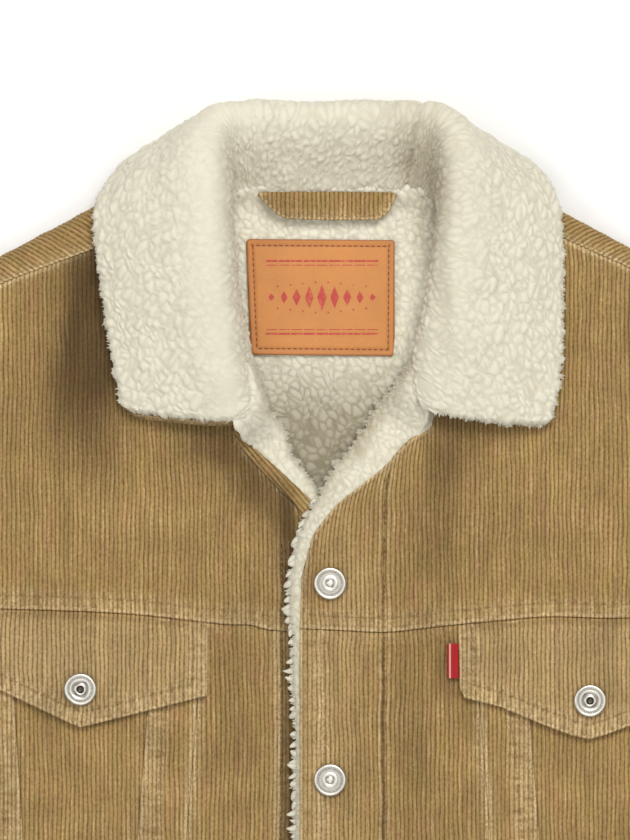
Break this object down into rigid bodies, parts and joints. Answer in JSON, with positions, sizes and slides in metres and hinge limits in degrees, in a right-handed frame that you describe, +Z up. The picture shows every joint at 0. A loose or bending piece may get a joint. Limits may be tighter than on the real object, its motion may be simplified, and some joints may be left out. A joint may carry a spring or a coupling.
{
  "type": "sherpa lined jacket",
  "caption": "Button-front corduroy jacket with sherpa collar and lining, flap chest pockets and waistband, laid flat on its back with the front buttoned.",
  "frame": {"origin": "middle of the laid-out jacket, on the surface that it lies on", "axes": "+X across the jacket towards its left sleeve, which is on the right as seen from above, +Y towards the collar, +Z up out of the front"},
  "size_m": [1.1322, 0.6889, 0.0537],
  "materials": {
    "corduroy": "matte cotton corduroy with wales 2.3 mm apart",
    "sherpa": "matte looped pile in small curls",
    "patch_leather": "smooth satin leather with a stitched border",
    "tab_ribbon": "fine woven ribbon",
    "button_metal": "satin nickel-plated, worn pale"
  },
  "bodies": {
    "root": {"back_centre": "corduroy", "back_side_left": "corduroy", "back_side_right": "corduroy", "back_yoke": "corduroy", "collar_pile": "sherpa", "cuff_button_left": "button_metal", "cuff_button_right": "button_metal", "cuff_top_left": "corduroy", "cuff_top_right": "corduroy", "cuff_under_left": "corduroy", "cuff_under_right": "corduroy", "facing_left": "sherpa", "facing_right": "sherpa", "flap_button_left": "button_metal", "flap_button_right": "button_metal", "flap_tab": "tab_ribbon", "front_button_1": "button_metal", "front_button_2": "button_metal", "front_button_3": "button_metal", "front_button_4": "button_metal", "front_centre_left": "corduroy", "front_centre_right": "corduroy", "front_side_left": "corduroy", "front_side_right": "corduroy", "front_yoke_left": "corduroy", "front_yoke_right": "corduroy", "hang_loop": "corduroy", "lining_neck": "sherpa", "neck_edge_left": "corduroy", "neck_patch": "patch_leather", "pocket_flap_left": "corduroy", "pocket_flap_right": "corduroy", "pocket_panel_left": "corduroy", "pocket_panel_right": "corduroy", "sleeve_top_left": "corduroy", "sleeve_top_right": "corduroy", "sleeve_under_left": "corduroy", "sleeve_under_right": "corduroy", "strip_inner_left": "corduroy", "strip_inner_right": "corduroy", "strip_outer_left": "corduroy", "strip_outer_right": "corduroy", "under_collar": "corduroy", "waistband_back": "corduroy", "waistband_button": "button_metal", "waistband_left": "corduroy", "waistband_right": "corduroy"}
  },
  "joints": []
}
